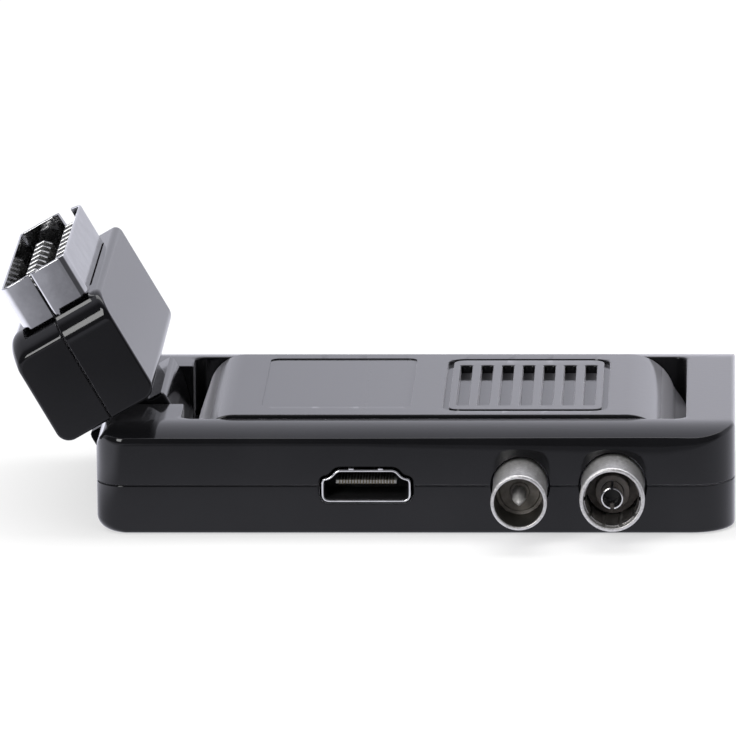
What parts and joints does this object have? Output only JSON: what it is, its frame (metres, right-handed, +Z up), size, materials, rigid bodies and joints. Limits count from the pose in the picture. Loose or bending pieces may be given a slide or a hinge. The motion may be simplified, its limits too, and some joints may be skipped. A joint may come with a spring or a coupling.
{
  "type": "digital TV decoder",
  "caption": "Compact gloss black digital TV decoder with a swivelling scart plug head, an HDMI socket and two aerial connectors on the front.",
  "frame": {"origin": "middle of the case's underside", "axes": "+X towards the end without the plug head, +Y towards the back, +Z up; the sockets with barrels are on the front, at -Y"},
  "size_m": [0.1242, 0.0766, 0.0464],
  "materials": {
    "gloss_black": "high gloss",
    "black_insulator": "matte",
    "pale_insulator": "satin",
    "grey_insulator": "satin",
    "nickel": "satin nickel plate",
    "tin_plate": "tin plate",
    "steel": "zinc plate",
    "gilt": "gold flash",
    "aluminium": "bead blasted",
    "board": "green solder mask",
    "chip": "matte",
    "wire_sheath": "matte"
  },
  "bodies": {
    "case": {"bottom_case": "gloss_black", "top_case": "gloss_black", "top_cover": "gloss_black", "case_screws": "steel", "circuit_board": "board", "tuner_can": "tin_plate", "main_chip": "chip", "heat_sink": "aluminium", "memory_chip": "chip", "capacitors": "black_insulator", "crystal": "tin_plate", "wire_socket": "pale_insulator", "case_wires": "wire_sheath", "hdmi_shell": "nickel", "hdmi_tongue": "pale_insulator", "hdmi_contacts": "gilt", "aerial_out_barrel": "nickel", "aerial_out_insulator": "grey_insulator", "aerial_out_pin": "nickel", "aerial_in_barrel": "nickel", "aerial_in_spring": "nickel", "aerial_in_insulator": "grey_insulator", "aerial_in_contact": "nickel", "usb_shell": "nickel", "usb_tongue": "pale_insulator", "power_jack": "black_insulator", "power_pin": "nickel", "infrared_jack": "black_insulator", "hinge_pin": "steel", "hinge_trunnion": "steel", "friction_washers": "steel"},
    "plug_head": {"swivel_arm": "gloss_black", "head_shell_left": "gloss_black", "head_shell_right": "gloss_black", "head_screws": "steel", "head_board": "board", "head_wires": "wire_sheath", "plug_shield": "nickel", "plug_block": "black_insulator", "plug_contacts": "nickel"}
  },
  "joints": [
    {"name": "plug_swivel", "type": "hinge", "parent": "case", "child": "plug_head", "pos_m": [-0.04585, 0.0025, 0.00925], "axis": [0, 1, 0], "range_deg": [-60, 30]}
  ]
}
